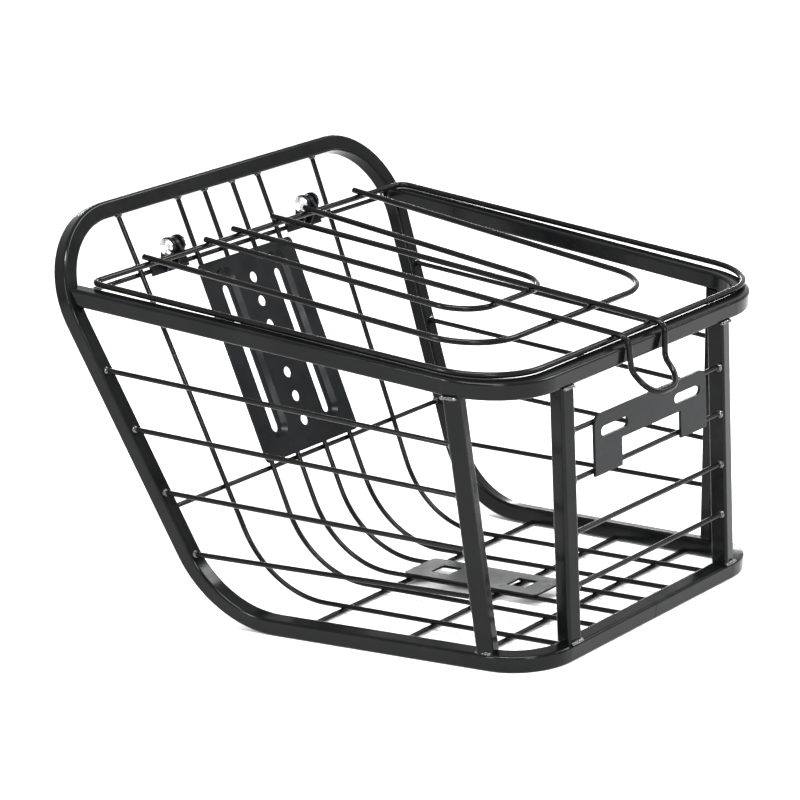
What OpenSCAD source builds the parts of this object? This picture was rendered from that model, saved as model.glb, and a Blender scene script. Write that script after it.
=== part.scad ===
// Handlebar basket with a hinged wire lid: square tube frame, wire grid, steel back plate.
// Millimetres, +Z up, the front faces -Y, bottom centre of the whole basket at the origin.

/* [Square tube] */
// outside width of the square tube
tube_w = 12; // [8:0.5:20]
// corner radius of the tube outside
tube_r = 2; // [1.5:0.1:3]
// wall thickness of the tube
tube_t = 1.2; // [0.8:0.1:1.4]

/* [Frame tube: base and back hoop] */
// half width of the base at the front, to the tube centre
front_half = 133; // [110:1:170]
// half width of the base at the back, to the tube centre
rear_half = 146.5; // [120:0.5:180]
// depth of the base, front rail to hoop foot
base_depth = 255; // [200:1:300]
// lean of the back hoop from upright, degrees
lean = 20.5; // [10:0.5:30]
// bend radius of the front base corners
base_corner_r = 35; // [25:1:50]
// bend radius where the base turns up into the hoop
rear_bend_r = 72; // [50:1:90]
// length of the hoop measured along its lean
hoop_len = 288; // [240:1:330]
// bend radius of the hoop top corners
hoop_corner_r = 58; // [40:1:75]
// open butt seam in the middle of the front base rail
seam_gap = 0.4; // [0.2:0.1:1]

/* [Rim tube] */
// half width of the rim at the front
rim_front_half = 154; // [140:1:170]
// half width of the rim at the back
rim_rear_half = 177; // [165:1:185]
// rim centre at the front, forward of the base rail
rim_forward = 4; // [0:0.5:10]
// rim centre height at the front
rim_z = 191.6; // [170:0.2:210]
// rise of the rim towards the back, degrees
rim_pitch = 6.7; // [0:0.1:10]
// bend radius of the rim corners
rim_corner_r = 48; // [35:1:60]

/* [Uprights] */
// half spacing of the two front uprights
front_upright_x = 94; // [70:1:110]
// turn of the front uprights outwards, degrees
front_upright_turn = 8; // [0:1:20]
// distance of the side uprights behind the front rail
side_upright_y = 35.5; // [34:0.5:60]
// turn of the side uprights towards the front, degrees
side_upright_turn = 15; // [0:1:25]

/* [Body wires] */
// diameter of the basket wires
wire_d = 3.6; // [3:0.1:4.5]
// height of the floor wires that run front to back
long_wire_z = 6.2; // [5.4:0.1:7]
// bend radius of the wires at the back of the floor
long_bend_r = 70; // [50:1:90]
// half spacing of the middle pair of long wires
pair_c_x = 15.5; // [12:0.5:18]
// half spacing of the second pair of long wires
pair_b_x = 44.5; // [43:0.5:52]
// half spacing of the outer pair at the front rail
pair_a_front_x = 87; // [75:1:100]
// half spacing of the outer pair at the back bend
pair_a_bend_x = 91; // [80:1:105]
// half spacing of the outer pair at the hoop top
pair_a_top_x = 108; // [95:1:118]

/* [Back plate] */
// half width of the back plate
plate_half = 52; // [48:0.5:60]
// length of the back plate along the lean
plate_len = 148; // [130:1:150]
// middle of the back plate along the lean
plate_s = 158; // [150:1:160]
// sheet thickness of the plates
sheet_t = 1.5; // [1:0.1:2]
// diameter of the six fixing holes
hole_d = 8; // [5:0.5:10]
// spacing of the six fixing holes
hole_pitch = 18; // [14:0.5:22]
// half spacing of the two slots
slot_x = 29; // [28:0.5:30]
// length of each slot
slot_len = 110; // [80:1:115]
// width of each slot
slot_w = 7; // [5:0.5:9]
// length of the pressed groove round each slot
groove_len = 132; // [128:1:134]
// depth of the pressed groove round each slot
groove_depth = 3; // [2:0.1:3]

/* [Floor plate] */
// half width of the floor plate
floor_plate_half = 18.5; // [17:0.5:25]
// length of the floor plate
floor_plate_len = 113; // [90:1:130]
// middle of the floor plate behind the front rail
floor_plate_y = 136.5; // [120:0.5:150]
// side of the two square holes
square_hole = 16; // [12:0.5:18]
// spacing of the two square holes
square_spacing = 65; // [55:1:75]
// diameter of the small round hole between them
centre_hole_d = 5; // [4:0.5:8]

/* [Front bracket] */
// half width of the front bracket
bracket_half = 67; // [60:1:80]
// sheet thickness of the front bracket
bracket_t = 2; // [1.5:0.1:3]
// height of the bracket top above the floor
bracket_top = 159; // [155:1:165]

/* [Lid] */
// diameter of the lid wires
lid_wire_d = 4.2; // [3.6:0.1:4.3]
// how far the lid sits to the right of the middle
lid_shift = 5; // [0:0.5:6]
// running gap between closed lid and rim
lid_gap = 0.3; // [0.3:0.1:1]
// half width of the lid frame at the front
lid_front_half = 160; // [150:1:162]
// half width of the lid frame at the back
lid_rear_half = 174; // [165:1:175]
// half spacing of the latch wires
latch_half = 22; // [18:0.5:24]
// length of the finger tab below the rim
latch_tab = 21; // [18:0.5:23]
// kick of the finger tab outwards, degrees
latch_kick = 42; // [10:1:50]
// how far the loops and latch wires sit to the right of the middle at the back
loops_back_shift = 8.5; // [0:0.5:9]
// the same at the front: they are welded on slightly askew
loops_front_shift = -7; // [-10:0.5:5]

/* [Hinges] */
// half spacing of the two hinges
hinge_x = 75; // [75:1:84]
// shank diameter of the hinge bolts
bolt_d = 5; // [4:0.5:5]
// running clearance of the lid ears on the bolts, on radius
bolt_gap = 0.08; // [0.03:0.01:0.1]

/* [Hidden] */
$fn = 40;

steel_black = [0.07, 0.075, 0.08];
zinc = [0.72, 0.73, 0.74];
lap = 0.3;
slim = 0.01;
h = tube_w / 2;
wr = wire_d / 2;
lr = lid_wire_d / 2;
X = [1, 0, 0];
Z = [0, 0, 1];

// Base and hoop geometry. The hoop splay and the section tilt follow from the base taper and the
// lean, so that the square section runs round every bend without a twist.
eps = atan((rear_half - front_half) / base_depth);
splay = atan(tan(eps) / sin(lean));
tilt = asin(cos(lean) * sin(splay));
zc = (h - tube_r) * (cos(tilt) + sin(tilt)) + tube_r;
d1 = [-sin(eps), cos(eps), 0];
d2 = [-sin(splay), cos(splay) * sin(lean), cos(splay) * cos(lean)];
up = [0, sin(lean), cos(lean)];
N = [0, -cos(lean), sin(lean)];
Fv = [-front_half, 0, zc];
Vv = [-rear_half, base_depth, zc];
side_out = [-cos(eps), -sin(eps), 0];
side_ex = side_out * cos(tilt) - Z * sin(tilt);
side_ey = side_out * sin(tilt) + Z * cos(tilt);
front_ex = [0, -cos(tilt), -sin(tilt)];
front_ey = [0, -sin(tilt), cos(tilt)];
leg_ex = [-cos(splay), -sin(lean) * sin(splay), -cos(lean) * sin(splay)];
latch_y = -13.1;
y_front = latch_y - latch_tab * sin(latch_kick) - lr;
y_rear = base_depth + hoop_len * sin(lean) + (h - tube_r) * (sin(lean) + cos(lean)) + tube_r;
y_mid = (y_front + y_rear) / 2;

// Rim plane.
ev = [0, cos(rim_pitch), sin(rim_pitch)];
ew = [0, -sin(rim_pitch), cos(rim_pitch)];
rim_len = (335 + rim_forward) / cos(rim_pitch);
lid_w = h + lid_gap + lr;
top_w = lid_w + lid_wire_d;
lid_back_v = 334.3;
bolt_s = 251;
bolt_off = 9;

function unit(v) = v / norm(v);
function hp(x, s, off) = [x, base_depth, zc] + s * up + off * N;
function rp(x, v, w) = [x, -rim_forward, rim_z] + v * ev + w * ew;
function leg_half(s) = rear_half + s * tan(splay);
function turn(a, b) = acos(a * b);
function setback(a, b, r) = r * tan(turn(a, b) / 2);
Hv = hp(-leg_half(hoop_len), hoop_len, 0);
Rv = rp(-rim_front_half, 0, 0);
rim_dir = unit(rp(-rim_rear_half, rim_len, 0) - Rv);
fu_base = [-front_upright_x, 0, zc];
fu_top = rp(-front_upright_x, 0, 0);
fu_dir = unit(fu_top - fu_base);
fu_up = unit(rp(0, 0, 0) - [0, 0, zc]);
fu_n = cross(X, fu_up);
su_base = Fv + d1 * side_upright_y / cos(eps);
su_top = Rv + rim_dir * (side_upright_y + 0.5 + rim_forward) / (rim_dir[1]);
su_dir = unit(su_top - su_base);

function perp(n, d) = unit(n - (n * d) * d);

module place(o, x, y, z)
    multmatrix([[x[0], y[0], z[0], o[0]], [x[1], y[1], z[1], o[1]], [x[2], y[2], z[2], o[2]]])
        children();

module in_frame() translate([0, -y_mid, 0]) children();

module flip(right) {
    if (right) mirror([1, 0, 0]) children();
    else children();
}

module both() {
    children();
    mirror([1, 0, 0]) children();
}

module round_square(w, r) {
    square([w, w - 2 * r], center = true);
    square([w - 2 * r, w], center = true);
    for (sx = [-1, 1], sy = [-1, 1]) translate([sx * (w / 2 - r), sy * (w / 2 - r)]) circle(r = r);
}

module round_rect(w, l, r) {
    square([w, l - 2 * r], center = true);
    square([w - 2 * r, l], center = true);
    for (sx = [-1, 1], sy = [-1, 1]) translate([sx * (w / 2 - r), sy * (l / 2 - r)]) circle(r = r);
}

module tube_section(s = 0) {
    difference() {
        round_square(tube_w - 2 * s, tube_r - s);
        round_square(tube_w - 2 * tube_t + 2 * s, tube_r - tube_t + s);
    }
}

module tube_straight(p, q, ex) {
    d = unit(q - p);
    place(p, ex, cross(d, ex), d) linear_extrude(height = norm(q - p)) tube_section(slim);
}

module tube_fill(p, q, ex) {
    d = unit(q - p);
    place(p, ex, cross(d, ex), d) linear_extrude(height = norm(q - p))
        square([tube_w, tube_w], center = true);
}

module tube_bend(p, a, b, r) {
    m = unit(b - (b * a) * a);
    place(p - a * setback(a, b, r) + m * r, -m, a, cross(a, m))
        rotate_extrude(angle = turn(a, b)) translate([r, 0]) tube_section();
}
module bend_fill(p, a, b, r) {
    m = unit(b - (b * a) * a);
    place(p - a * setback(a, b, r) + m * r, -m, a, cross(a, m))
        rotate_extrude(angle = turn(a, b)) translate([r, 0]) square([tube_w, tube_w], center = true);
}

module rod(p, q, r) {
    d = unit(q - p);
    u = unit(cross(abs(d[2]) < 0.9 ? Z : X, d));
    place(p, u, cross(d, u), d) cylinder(h = norm(q - p), r = r);
}

module rod_bend(p, a, b, r, wire_r) {
    m = unit(b - (b * a) * a);
    place(p - a * setback(a, b, r) + m * r, -m, a, cross(a, m))
        rotate_extrude(angle = turn(a, b)) translate([r, 0]) circle(r = wire_r);
}

// A wire along points pts with bend radius rad[i] at every inner point.
function dir(pts, i) = unit(pts[(i + 1) % len(pts)] - pts[i]);
function back_off(pts, rad, i) =
    setback(dir(pts, (i + len(pts) - 1) % len(pts)), dir(pts, i), rad[i]) - lap;
module wire(pts, rad, r) {
    n = len(pts);
    for (i = [0 : n - 2]) {
        a = i == 0 ? 0 : back_off(pts, rad, i);
        b = i == n - 2 ? 0 : back_off(pts, rad, i + 1);
        rod(pts[i] + dir(pts, i) * a, pts[i + 1] - dir(pts, i) * b, n == 2 ? r : r - slim);
    }
    if (n > 2) for (i = [1 : n - 2]) rod_bend(pts[i], dir(pts, i - 1), dir(pts, i), rad[i], r);
}
module ring_wire(pts, rad, r) {
    n = len(pts);
    for (i = [0 : n - 1]) {
        j = (i + 1) % n;
        d = dir(pts, i);
        rod(pts[i] + d * back_off(pts, rad, i), pts[j] - d * back_off(pts, rad, j), r - slim);
        rod_bend(pts[i], dir(pts, (i + n - 1) % n), d, rad[i], r);
    }
}

// Everything on the far side of a plane through o, against its normal n.
module behind_plane(o, n, u)
    place(o, u, cross(n, u), n) translate([-320, -320, -60]) cube([640, 640, 60]);

module side_rail_fill() tube_fill(Fv, Vv, side_ex);
module leg_fill() {
    tb = setback(d1, d2, rear_bend_r);
    th = setback(d2, X, hoop_corner_r);
    tube_fill(Vv + d2 * (tb - lap), Hv - d2 * (th - lap), leg_ex);
    bend_fill(Vv, d1, d2, rear_bend_r);
    bend_fill(Hv, d2, X, hoop_corner_r);
}
module front_rail_fill() tube_fill([-120, 0, zc], [120, 0, zc], front_ex);
module top_rail_fill() tube_fill(hp(-140, hoop_len, 0), hp(140, hoop_len, 0), up);
module front_upright_fill()
    tube_fill(fu_base, fu_top, perp([-sin(front_upright_turn), -cos(front_upright_turn), 0], fu_dir));
module side_upright_fill()
    tube_fill(su_base, su_top, perp([-cos(side_upright_turn), -sin(side_upright_turn), 0], su_dir));

module half_frame() {
    tb = setback(d1, d2, rear_bend_r);
    th = setback(d2, X, hoop_corner_r);
    tc = base_corner_r * tan((90 - eps) / 2);
    cc = [-front_half + tc, base_corner_r, zc];
    tube_straight([-seam_gap / 2, 0, zc], [-front_half + tc - lap, 0, zc], front_ex);
    place(cc, side_out, cross(Z, side_out), Z) rotate_extrude(angle = 90 - eps)
        translate([base_corner_r, 0]) rotate(-tilt) tube_section();
    tube_straight(Fv + d1 * (tc - lap), Vv - d1 * (tb - lap), side_ex);
    tube_bend(Vv, d1, d2, rear_bend_r);
    tube_straight(Vv + d2 * (tb - lap), Hv - d2 * (th - lap), leg_ex);
    tube_bend(Hv, d2, X, hoop_corner_r);
}

module frame_tube() color(steel_black) in_frame() {
    th = setback(d2, X, hoop_corner_r);
    both() half_frame();
    tube_straight(Hv + X * (th - lap), hp(-Hv[0] - th + lap, hoop_len, 0), up);
}

module rim_tube() color(steel_black) in_frame() {
    t = setback(-X, rim_dir, rim_corner_r);
    difference() {
        union() {
            tube_straight(Rv + X * (t - lap), rp(rim_front_half - t + lap, 0, 0), ew);
            both() {
                tube_bend(Rv, -X, rim_dir, rim_corner_r);
                tube_straight(Rv + rim_dir * (t - lap), Rv + rim_dir * (rim_len + 15), ew);
            }
        }
        behind_plane(hp(0, 240, h), N, X);
    }
}

module front_upright(right) color(steel_black) in_frame() flip(right) difference() {
    tube_straight(fu_base, fu_top, perp([-sin(front_upright_turn), -cos(front_upright_turn), 0], fu_dir));
    behind_plane([0, 0, zc] + front_ey * h, front_ey, X);
    behind_plane(rp(0, 0, -h), -ew, X);
}
module front_upright_left() front_upright(false);
module front_upright_right() front_upright(true);

module side_upright(right) color(steel_black) in_frame() flip(right) difference() {
    tube_straight(su_base, su_top, perp([-cos(side_upright_turn), -sin(side_upright_turn), 0], su_dir));
    behind_plane(Fv + side_ey * h, side_ey, d1);
    behind_plane(rp(0, 0, -h), -ew, X);
}
module side_upright_left() side_upright(false);
module side_upright_right() side_upright(true);

// Side wires, from the top down: height at the hoop leg and height at the side upright.
side_leg_z = [181, 139.5, 95, 51];
side_up_z = [155, 120, 83, 50];
module side_wire(i, right) color(steel_black) in_frame() flip(right) difference() {
    s = (side_leg_z[i] - zc) / cos(lean);
    rod(su_base + su_dir * (side_up_z[i] - zc) / su_dir[2], hp(-leg_half(s), s, 0), wr);
    side_upright_fill();
    leg_fill();
}
module side_wire_left_1() side_wire(0, false);
module side_wire_left_2() side_wire(1, false);
module side_wire_left_3() side_wire(2, false);
module side_wire_left_4() side_wire(3, false);
module side_wire_right_1() side_wire(0, true);
module side_wire_right_2() side_wire(1, true);
module side_wire_right_3() side_wire(2, true);
module side_wire_right_4() side_wire(3, true);

// Front wires, from the top down.
front_z = [154, 121, 85, 49];
front_off = 2.5;
module front_wire(i) color(steel_black) in_frame() difference() {
    c = [0, 0, zc] + fu_up * (front_z[i] - zc) / fu_up[2] + fu_n * front_off;
    rod(c - X * front_upright_x, c + X * front_upright_x, wr);
    both() front_upright_fill();
}
module front_wire_1() front_wire(0);
module front_wire_2() front_wire(1);
module front_wire_3() front_wire(2);
module front_wire_4() front_wire(3);

// Long wires run along the floor, bend up and climb the back hoop to its top rail.
long_vertex_y = base_depth + (long_wire_z - zc) * tan(lean);
module long_wire(xf, xb, xt) color(steel_black) in_frame() difference() {
    wire([[xf, 0, long_wire_z], [xb, long_vertex_y, long_wire_z], hp(xt, hoop_len, 0)],
        [0, long_bend_r, 0], wr);
    front_rail_fill();
    top_rail_fill();
}
module long_wire_a() long_wire(-pair_a_front_x, -pair_a_bend_x, -pair_a_top_x);
module long_wire_b() long_wire(-pair_b_x, -pair_b_x, -pair_b_x);
module long_wire_c() long_wire(-pair_c_x, -pair_c_x, -pair_c_x);
module long_wire_d() long_wire(pair_c_x, pair_c_x, pair_c_x);
module long_wire_e() long_wire(pair_b_x, pair_b_x, pair_b_x);
module long_wire_f() long_wire(pair_a_front_x, pair_a_bend_x, pair_a_top_x);

// Floor cross wires, from the back to the front, welded under the long wires.
cross_y = [192, 116, 55];
module floor_cross_wire(i) color(steel_black) in_frame() difference() {
    x = front_half + cross_y[i] * tan(eps);
    rod([-x, cross_y[i], long_wire_z - wire_d], [x, cross_y[i], long_wire_z - wire_d], wr);
    both() side_rail_fill();
}
module floor_cross_wire_1() floor_cross_wire(0);
module floor_cross_wire_2() floor_cross_wire(1);
module floor_cross_wire_3() floor_cross_wire(2);

// Cross wires of the back, welded behind the long wires.
module back_cross_wire(s, inset) color(steel_black) in_frame() difference() {
    x = leg_half(s) - inset;
    rod(hp(-x, s, -wire_d), hp(x, s, -wire_d), wr);
    both() leg_fill();
}
module back_cross_wire_upper() back_cross_wire(238.5, 2.6);
module back_cross_wire_lower() back_cross_wire(80.5, 0);

// A long cup with sloping walls, radius ra at height za up to rb at zb.
module cup(len, ra, za, rb, zb) {
    for (k = [0, 1]) rotate([0, 0, 180 * k]) translate([0, len / 2, 0])
        rotate_extrude(angle = 180) polygon([[0, za], [ra, za], [rb, zb], [0, zb]]);
    translate([0, len / 2, 0]) rotate([90, 0, 0]) linear_extrude(height = len)
        polygon([[-ra, za], [ra, za], [rb, zb], [-rb, zb]]);
}

module back_plate() color(steel_black) in_frame() place(hp(0, plate_s, 0), X, up, N) {
    l = slot_len - slot_w;
    g = groove_len - 23.6;
    groove_up = 4;
    lo = wr - groove_depth;
    difference() {
        union() {
            translate([0, 0, wr]) linear_extrude(height = sheet_t)
                round_rect(2 * plate_half, plate_len, 4);
            for (s = [-1, 1]) translate([s * slot_x, groove_up, 0]) cup(g, 7.6, lo, 11.8, lo + 4);
        }
        for (s = [-1, 1]) translate([s * slot_x, 0, 0]) {
            translate([0, groove_up, 0]) cup(g, 7, lo + sheet_t, 10.4, lo + sheet_t + 3.2);
            for (e = [-1, 1]) translate([0, e * l / 2, lo - 1]) cylinder(h = 4, d = slot_w);
            translate([-slot_w / 2, -l / 2, lo - 1]) cube([slot_w, l, 4]);
        }
        for (k = [-2.5 : 1 : 2.5]) translate([0, (k < 0 ? k - 0.5 : k + 0.5) * hole_pitch, wr - 1])
            cylinder(h = sheet_t + 2, d = hole_d);
    }
}

module floor_plate() color(steel_black) in_frame()
    translate([0, floor_plate_y, long_wire_z + wr]) difference() {
        linear_extrude(height = sheet_t) round_rect(2 * floor_plate_half, floor_plate_len, 3);
        for (s = [-1, 1]) translate([0, s * square_spacing / 2, 0])
            cube([square_hole, square_hole, 8], center = true);
        translate([0, 3.5, -1]) cylinder(h = sheet_t + 2, d = centre_hole_d);
    }

// Front bracket, drawn in the plane of the front wires.
module front_bracket() color(steel_black) in_frame()
    place([0, 0, zc] + fu_n * (front_off + wr), X, fu_up, fu_n) {
        top = bracket_top - zc;
        mid = 137 - zc;
        low = 118 - zc;
        r = 7;
        difference() {
            linear_extrude(height = bracket_t) {
                translate([-bracket_half + r, mid]) square([2 * bracket_half - 2 * r, top - mid]);
                translate([-bracket_half, mid]) square([2 * bracket_half, top - mid - r]);
                for (s = [-1, 1]) {
                    translate([s * (bracket_half - r), top - r]) circle(r = r);
                    translate([s * (bracket_half + 35.5) / 2 - (bracket_half - 35.5) / 2, low])
                        square([bracket_half - 35.5, mid - low + 1]);
                }
            }
            for (s = [-1, 1]) {
                for (e = [0, 1]) translate([s * (31.5 + 24.5 * e), 146.5 - zc, -1])
                    cylinder(h = bracket_t + 2, d = 7);
                translate([s * 43.75 - 12.25, 143 - zc, -1]) cube([24.5, 7, bracket_t + 2]);
            }
        }
    }

// Hinge parts, drawn in planes across the bolt: first axis up the hoop, second axis forwards.
module hinge_frame() place(hp(-hinge_x, 0, 0), up, N, X) children();

module hinge_bracket(right) color(steel_black) in_frame() flip(right) hinge_frame() {
    f = -wr;
    translate([234.5, f, -19]) cube([8, 2, 38]);
    for (e = [-1, 1]) translate([0, 0, e * 5 - 1]) difference() {
        linear_extrude(height = 2) {
            translate([bolt_s, bolt_off]) circle(r = 6.5);
            polygon([[234.5, f], [234.5, f + 2], [bolt_s - 4, bolt_off + 4.6],
                [bolt_s + 4.2, bolt_off - 4.6], [242.5, f]]);
        }
        translate([bolt_s, bolt_off, -1]) cylinder(h = 4, d = bolt_d + 0.1);
    }
}
module hinge_bracket_left() hinge_bracket(false);
module hinge_bracket_right() hinge_bracket(true);

module hinge_bolt(side) color(zinc) in_frame()
    place(hp(side * hinge_x, bolt_s, bolt_off), up, N, X) rotate([0, 0, 0]) {
        translate([0, 0, -6]) cylinder(h = 18, d = bolt_d);
        translate([0, 0, -6]) mirror([0, 0, 1]) rotate_extrude()
            polygon([[0, 0], [5.7, 0], [5.7, 1.4], [5.1, 2.6], [3.8, 3.5], [2, 4], [0, 4.1]]);
    }
module hinge_bolt_left() hinge_bolt(-1);
module hinge_bolt_right() hinge_bolt(1);

module hinge_nut(side) color(zinc) in_frame()
    place(hp(side * hinge_x, bolt_s, bolt_off), up, N, X) translate([0, 0, 6]) difference() {
        cylinder(h = 4, d = 9.2, $fn = 6);
        translate([0, 0, -1]) cylinder(h = 6, d = bolt_d + 0.02);
    }
module hinge_nut_left() hinge_nut(-1);
module hinge_nut_right() hinge_nut(1);

// Lid wires. Every loop is drawn in the plane of the rim and carried by the lid frame wire.
module lid_frame_wire() color(steel_black) in_frame() translate([lid_shift, 0, 0])
    ring_wire([rp(-lid_front_half, 5, lid_w), rp(-lid_rear_half, lid_back_v, lid_w),
        rp(lid_rear_half, lid_back_v, lid_w), rp(lid_front_half, 5, lid_w)], [48, 8, 8, 48], lr);

// Sideways place of the loops at v, and the height of a loop that lies on the back wire and slopes
// down to touch the latch wires from below at its front bar.
function skew(v) = loops_back_shift + (loops_front_shift - loops_back_shift) * (1 - v / lid_back_v);
function loop_pt(x, v, v_bar) =
    rp(x + skew(v), v, lid_w + (v - v_bar) * lid_wire_d / (lid_back_v - v_bar));
module lid_loop(back_half, front_half_w, v_bar, corner_r, overhang) color(steel_black) in_frame() {
    v_end = lid_back_v + overhang;
    wire([loop_pt(-back_half, v_end, v_bar), loop_pt(-front_half_w, v_bar, v_bar),
        loop_pt(front_half_w, v_bar, v_bar), loop_pt(back_half, v_end, v_bar)],
        [0, corner_r, corner_r, 0], lr);
}
module lid_outer_loop() lid_loop(118, 103, 54, 40, 5);
module lid_inner_loop() lid_loop(56, 48, 105, 28, 1.7);

latch_v = (latch_y + rim_forward + top_w * sin(rim_pitch)) / cos(rim_pitch);
module lid_latch_wire() color(steel_black) in_frame() {
    x = skew(latch_v);
    back = lid_back_v + 5;
    neck_z = 180;
    tab_y = latch_y - latch_tab * sin(latch_kick);
    tab_z = neck_z - latch_tab * cos(latch_kick);
    wire([rp(skew(back) - latch_half, back, top_w), rp(x - latch_half, latch_v, top_w),
        [x - 20, latch_y, neck_z], [x - 17.5, tab_y, tab_z], [x + 17.5, tab_y, tab_z],
        [x + 20, latch_y, neck_z], rp(x + latch_half, latch_v, top_w),
        rp(skew(back) + latch_half, back, top_w)], [0, 8, 10, 15, 15, 10, 8, 0], lr);
}

module lid_ear(right) color(steel_black) in_frame() flip(right) hinge_frame()
    translate([0, 0, -1.5]) difference() {
        b = rp(0, lid_back_v, lid_w) - hp(0, 0, 0);
        bs = b * up;
        bo = b * N;
        c = [bolt_s, bolt_off];
        e = [bs, bo];
        n = unit([-(e - c)[1], (e - c)[0]]);
        union() {
            translate([c[0], c[1], 0]) cylinder(h = 3, r = 5.5);
            linear_extrude(height = 3) polygon([c + n * 5, e + n * 3.6, e - n * 3.6, c - n * 5]);
        }
        translate([bolt_s, bolt_off, -1]) cylinder(h = 5, r = bolt_d / 2 + bolt_gap);
        translate([bs, bo, -1]) cylinder(h = 5, r = lr - slim);
    }
module lid_ear_left() lid_ear(false);
module lid_ear_right() lid_ear(true);

frame_tube();
rim_tube();
front_upright_left();
front_upright_right();
side_upright_left();
side_upright_right();
side_wire_left_1();
side_wire_left_2();
side_wire_left_3();
side_wire_left_4();
side_wire_right_1();
side_wire_right_2();
side_wire_right_3();
side_wire_right_4();
front_wire_1();
front_wire_2();
front_wire_3();
front_wire_4();
long_wire_a();
long_wire_b();
long_wire_c();
long_wire_d();
long_wire_e();
long_wire_f();
floor_cross_wire_1();
floor_cross_wire_2();
floor_cross_wire_3();
back_cross_wire_upper();
back_cross_wire_lower();
back_plate();
floor_plate();
front_bracket();
hinge_bracket_left();
hinge_bracket_right();
hinge_bolt_left();
hinge_bolt_right();
hinge_nut_left();
hinge_nut_right();
lid_frame_wire();
lid_outer_loop();
lid_inner_loop();
lid_latch_wire();
lid_ear_left();
lid_ear_right();
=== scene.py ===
import bpy, bmesh, math, random
from mathutils import Matrix, Vector, noise


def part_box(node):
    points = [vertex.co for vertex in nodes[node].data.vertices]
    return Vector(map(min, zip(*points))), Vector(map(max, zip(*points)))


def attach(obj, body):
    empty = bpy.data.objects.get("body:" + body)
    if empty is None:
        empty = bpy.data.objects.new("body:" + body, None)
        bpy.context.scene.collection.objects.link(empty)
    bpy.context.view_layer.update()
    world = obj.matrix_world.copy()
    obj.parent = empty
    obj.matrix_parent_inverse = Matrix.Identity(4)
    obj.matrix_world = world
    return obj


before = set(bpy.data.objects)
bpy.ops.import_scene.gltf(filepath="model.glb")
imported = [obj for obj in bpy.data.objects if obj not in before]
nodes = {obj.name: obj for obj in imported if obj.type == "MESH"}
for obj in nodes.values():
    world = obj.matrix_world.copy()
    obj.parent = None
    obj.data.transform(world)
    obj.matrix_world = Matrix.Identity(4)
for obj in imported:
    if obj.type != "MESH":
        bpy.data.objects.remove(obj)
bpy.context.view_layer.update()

# ---- Materials ---------------------------------------------------------------------------------


def new_material(name):
    material = bpy.data.materials.new(name)
    material.use_nodes = True
    tree = material.node_tree
    return material, tree, tree.nodes["Principled BSDF"]


def noise_texture(tree, scale, detail=3.0):
    place = tree.nodes.new("ShaderNodeTexCoord")
    texture = tree.nodes.new("ShaderNodeTexNoise")
    texture.inputs["Scale"].default_value = scale
    texture.inputs["Detail"].default_value = detail
    tree.links.new(place.outputs["Object"], texture.inputs["Vector"])
    return texture.outputs["Fac"]


def ramp(tree, source, low, high, start=0.35, end=0.65):
    node = tree.nodes.new("ShaderNodeValToRGB")
    node.color_ramp.elements[0].position = start
    node.color_ramp.elements[0].color = (*low, 1)
    node.color_ramp.elements[1].position = end
    node.color_ramp.elements[1].color = (*high, 1)
    tree.links.new(source, node.inputs["Fac"])
    return node.outputs["Color"]


def spread(tree, source, low, high):
    node = tree.nodes.new("ShaderNodeMapRange")
    node.inputs["From Min"].default_value = 0.3
    node.inputs["From Max"].default_value = 0.7
    node.inputs["To Min"].default_value = low
    node.inputs["To Max"].default_value = high
    tree.links.new(source, node.inputs["Value"])
    return node.outputs["Result"]


def bump(tree, height, strength, distance, under=None):
    node = tree.nodes.new("ShaderNodeBump")
    node.inputs["Strength"].default_value = strength
    node.inputs["Distance"].default_value = distance
    tree.links.new(height, node.inputs["Height"])
    if under:
        tree.links.new(under, node.inputs["Normal"])
    return node.outputs["Normal"]


def black_coat(name, low, high, rough_low, rough_high, peel, gloss=0.11):
    """Powder coat on steel: near black, with fine orange peel and patches of more and less gloss."""
    material, tree, shader = new_material(name)
    shader.inputs["Specular IOR Level"].default_value = gloss
    broad = noise_texture(tree, 28.0)
    fine = noise_texture(tree, 650.0, 2.0)
    grain = noise_texture(tree, 2400.0, 1.0)
    tree.links.new(ramp(tree, broad, low, high), shader.inputs["Base Color"])
    tree.links.new(spread(tree, noise_texture(tree, 90.0), rough_low, rough_high), shader.inputs["Roughness"])
    first = bump(tree, fine, peel, 0.0003)
    tree.links.new(bump(tree, grain, peel * 0.5, 0.0001, first), shader.inputs["Normal"])
    return material


# Darkest and lightest tone, smoothest and roughest patch, depth of the orange peel.
tube_coat = black_coat("tube_coat", (0.0020, 0.0022, 0.0024), (0.0036, 0.0038, 0.0040), 0.12, 0.20, 0.05)
wire_coat = black_coat("wire_coat", (0.0024, 0.0025, 0.0023), (0.0044, 0.0044, 0.0040), 0.14, 0.22, 0.05)
plate_coat = black_coat("plate_coat", (0.0020, 0.0026, 0.0031), (0.0038, 0.0046, 0.0054), 0.26, 0.34, 0.04)
# Weld beads: the same black coat, glossier and lumpier, but with a lighter base colour. That lighter colour is
# a painted highlight standing in for the sparkle of the welds.
bead_coat_painted_highlight = black_coat("bead_coat_painted_highlight", (0.0060, 0.0063, 0.0066), (0.0140, 0.0143, 0.0146), 0.10, 0.18, 0.12, 1.0)


def zinc_plate():
    """Bright zinc plating, slightly mottled, with fine turning marks."""
    material, tree, shader = new_material("zinc_plate")
    shader.inputs["Metallic"].default_value = 1.0
    mottle = noise_texture(tree, 420.0)
    tree.links.new(ramp(tree, mottle, (0.62, 0.63, 0.64), (0.86, 0.86, 0.85)), shader.inputs["Base Color"])
    tree.links.new(spread(tree, noise_texture(tree, 900.0), 0.20, 0.34), shader.inputs["Roughness"])
    tree.links.new(bump(tree, noise_texture(tree, 1500.0), 0.25, 0.0001), shader.inputs["Normal"])
    return material


zinc = zinc_plate()


def finish_of(name):
    if name.startswith(("hinge_bolt", "hinge_nut")):
        return zinc
    if name in ("back_plate", "floor_plate", "front_bracket") or name.startswith(("hinge_bracket", "lid_ear")):
        return plate_coat
    if "wire" in name or "loop" in name:
        return wire_coat
    return tube_coat


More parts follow.
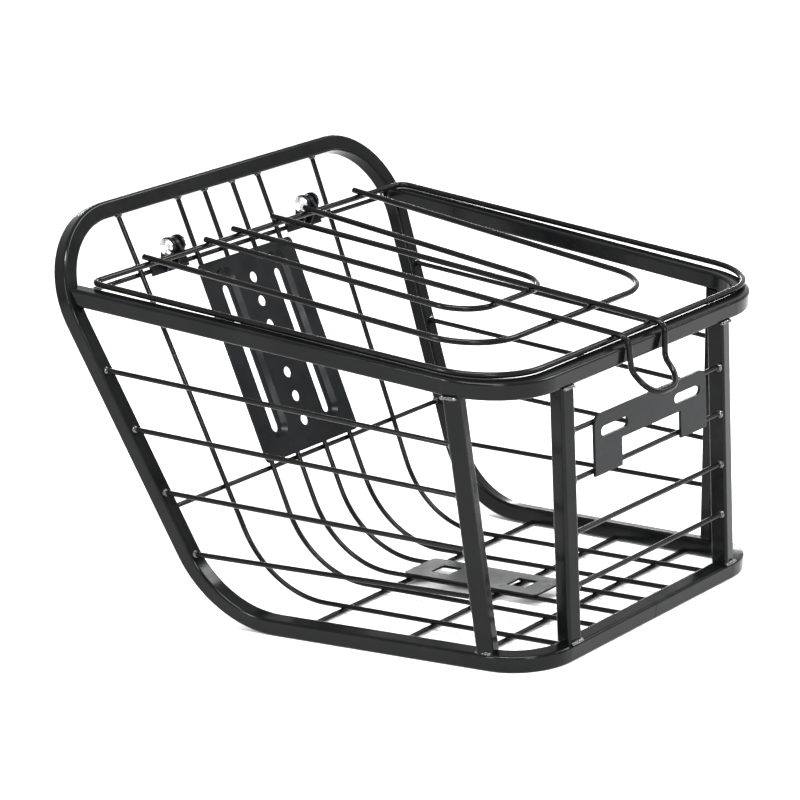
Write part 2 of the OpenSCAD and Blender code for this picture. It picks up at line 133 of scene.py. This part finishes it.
for name, obj in nodes.items():
    for material_slot in obj.material_slots:
        material_slot.material = finish_of(name)

# ---- Weld beads --------------------------------------------------------------------------------

# Metres. A bead size is its half width, half length and half height on the face it sits on.
WIRE_R = 0.0018
SIDE_BEAD = (0.0026, 0.0030, 0.0016)
FRONT_BEAD = (0.0029, 0.0024, 0.0017)
LONG_FRONT_BEAD = (0.0030, 0.0022, 0.0016)
LONG_TOP_BEAD = (0.0027, 0.0026, 0.0014)
CROSS_BEAD = (0.0026, 0.0023, 0.0016)
RUN_BEAD = (0.0016, 0.0017, 0.0013)
RUN_BEADS = 5
RUN_HALF = 0.0046
TUBE_HALF = 0.006
LUMPINESS = 0.28
dice = random.Random(11)


def bead(mesh, centre, size, along):
    """One lump of weld, flattened along the face that it sits on."""
    turn = Vector((0, 0, 1)).rotation_difference(Vector(along).normalized()).to_matrix().to_4x4()
    shape = Matrix.Diagonal((size[0], size[1], size[2], 1))
    spin = Matrix.Rotation(dice.uniform(0, math.tau), 4, "Z")
    made = bmesh.ops.create_icosphere(mesh, subdivisions=3, radius=1.0)
    seed = Vector((dice.uniform(0, 9), dice.uniform(0, 9), dice.uniform(0, 9)))
    for v in made["verts"]:
        v.co *= 1 + LUMPINESS * noise.noise(v.co * 1.6 + seed)
        v.co = Matrix.Translation(centre) @ turn @ shape @ spin @ v.co


def bead_piece(name, body, spots):
    mesh = bmesh.new()
    for centre, size, along in spots:
        bead(mesh, Vector(centre), size, along)
    data = bpy.data.meshes.new(name)
    mesh.to_mesh(data)
    mesh.free()
    for face in data.polygons:
        face.use_smooth = True
    obj = bpy.data.objects.new(name, data)
    bpy.context.collection.objects.link(obj)
    data.materials.append(bead_coat_painted_highlight)
    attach(obj, body)
    return obj


def corners(name):
    low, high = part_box(name)
    return Vector(low), Vector(high)


spots = []
for side, sign in (("left", -1), ("right", 1)):
    for i in (1, 2, 3, 4):
        low, high = corners(f"side_wire_{side}_{i}")
        outer = low.x if sign < 0 else high.x
        inner = high.x if sign < 0 else low.x
        front = Vector((inner + sign * WIRE_R, low.y, low.z + WIRE_R))
        back = Vector((outer - sign * WIRE_R, high.y, high.z - WIRE_R))
        for spot, way in ((front, 1), (back, -1)):
            spots.append((spot + Vector((sign * 0.0012, way * 0.0004, 0)), SIDE_BEAD, (0, 1, 0)))
for i in (1, 2, 3, 4):
    low, high = corners(f"front_wire_{i}")
    middle = (low + high) / 2
    for x, sign in ((low.x, 1), (high.x, -1)):
        spot = Vector((x + sign * 0.0004, middle.y - 0.0010, middle.z))
        spots.append((spot, FRONT_BEAD, (1, 0, 0)))
for letter in "abcdef":
    low, high = corners(f"long_wire_{letter}")
    left = letter < "d"
    front_x = high.x - WIRE_R if left else low.x + WIRE_R
    top_x = low.x + WIRE_R if left else high.x - WIRE_R
    spots.append(((front_x, low.y + 0.0003, low.z + WIRE_R + 0.0006), LONG_FRONT_BEAD, (0, 1, 0)))
    spots.append(((top_x, high.y - WIRE_R - 0.0002, high.z - 0.0008), LONG_TOP_BEAD, (0, 0.35, 0.94)))
for name in ("floor_cross_wire_1", "floor_cross_wire_2", "floor_cross_wire_3", "back_cross_wire_upper",
             "back_cross_wire_lower"):
    low, high = corners(name)
    middle = (low + high) / 2
    for x, sign in ((low.x, 1), (high.x, -1)):
        spots.append(((x + sign * 0.0004, middle.y, middle.z + 0.0007), CROSS_BEAD, (1, 0, 0)))
bead_piece("wire_end_welds", "basket", spots)

# Short runs of weld where the uprights meet the base rail and the rim.
runs = []
for name in ("front_upright_left", "front_upright_right", "side_upright_left", "side_upright_right"):
    low, high = corners(name)
    sign = -1 if name.endswith("left") else 1
    if name.startswith("front"):
        foot_x = head_x = (low.x + high.x) / 2
        foot_y, head_y = high.y - 0.0068, low.y + 0.0068
    else:
        foot_x = low.x + TUBE_HALF if sign > 0 else high.x - TUBE_HALF
        head_x = high.x - TUBE_HALF if sign > 0 else low.x + TUBE_HALF
        foot_y = head_y = (low.y + high.y) / 2
    for k in range(RUN_BEADS):
        t = (2 * k / (RUN_BEADS - 1) - 1) * RUN_HALF
        for x, y, z in ((foot_x, foot_y, low.z + 0.0014), (head_x, head_y, high.z - 0.0016)):
            if name.startswith("front"):
                spot = (x + t, y - 0.0062, z)
            else:
                spot = (x + sign * 0.0058, y + t, z)
            runs.append((spot, RUN_BEAD, (0, 0, 1)))
bead_piece("upright_welds", "basket", runs)

# ---- Stage, light and camera -------------------------------------------------------------------

floor_mesh = bpy.data.meshes.new("floor")
FLOOR_HALF = 30
floor_corners = [(x * FLOOR_HALF, y * FLOOR_HALF, 0) for x, y in ((-1, -1), (1, -1), (1, 1), (-1, 1))]
floor_mesh.from_pydata(floor_corners, [], [(0, 1, 2, 3)])
floor = bpy.data.objects.new("floor", floor_mesh)
bpy.context.collection.objects.link(floor)
pale, pale_tree, pale_shader = new_material("pale_floor")
pale_shader.inputs["Roughness"].default_value = 0.9
pale_shader.inputs["Specular IOR Level"].default_value = 0.1
pale_tone = ramp(pale_tree, noise_texture(pale_tree, 3.0), (0.86, 0.86, 0.86), (0.88, 0.88, 0.88))
pale_tree.links.new(pale_tone, pale_shader.inputs["Base Color"])
floor_mesh.materials.append(pale)

world = bpy.data.worlds.new("studio")
world.use_nodes = True
world.node_tree.nodes["Background"].inputs["Color"].default_value = (1, 1, 1, 1)
world.node_tree.nodes["Background"].inputs["Strength"].default_value = 0.92
bpy.context.scene.world = world
bpy.context.scene.view_settings.view_transform = "Standard"


def area_light(name, place, size, power, target=(0, 0, 0.13)):
    """A rectangular soft box: place and target in metres, width and height, watts."""
    data = bpy.data.lights.new(name, "AREA")
    data.shape = "RECTANGLE"
    data.size, data.size_y = size
    data.energy = power
    obj = bpy.data.objects.new(name, data)
    obj.location = place
    obj.rotation_euler = (Vector(target) - Vector(place)).to_track_quat("-Z", "Y").to_euler()
    bpy.context.collection.objects.link(obj)


# Narrow, bright soft boxes: the black coat shows them as clear streaks and stays black between.
area_light("back_strip", (4.73, 3.70, 1.38), (4.0, 0.30), 70)
area_light("floor_front", (1.5, -1.3, 1.5), (1.0, 1.0), 60, (1.25, -1.05, 0))
area_light("overhead", (-0.7, -0.5, 1.9), (1.3, 0.25), 75)
area_light("left", (-2.2, 0.7, 0.9), (0.2, 1.3), 36)
area_light("camera_side", (-1.35, -1.75, 0.75), (0.5, 0.25), 26)

# Camera: from the front left and slightly above, with a small roll.
AZIMUTH, ELEVATION, ROLL = math.radians(-52), math.radians(14.9), math.radians(-3.5)
DISTANCE, SHIFT_LEFT, SHIFT_UP = 2.4175, 0.0639, 0.0314
SENSOR_MM, LENS_MM = 36, 158.535
aim = Vector((0, -0.0468778, 0.110))
back = Vector((
    math.sin(AZIMUTH) * math.cos(ELEVATION),
    -math.cos(AZIMUTH) * math.cos(ELEVATION),
    math.sin(ELEVATION),
))
right = Vector((math.cos(AZIMUTH), math.sin(AZIMUTH), 0))
up = back.cross(right)
camera_data = bpy.data.cameras.new("camera")
camera_data.sensor_width = SENSOR_MM
camera_data.lens = LENS_MM
camera = bpy.data.objects.new("camera", camera_data)
turned_right = right * math.cos(ROLL) + up * math.sin(ROLL)
turned_up = up * math.cos(ROLL) - right * math.sin(ROLL)
pose = Matrix((turned_right, turned_up, back)).transposed().to_4x4()
pose.translation = aim + back * DISTANCE - right * SHIFT_LEFT + up * SHIFT_UP
camera.matrix_world = pose
bpy.context.collection.objects.link(camera)
bpy.context.scene.camera = camera

bpy.context.view_layer.update()
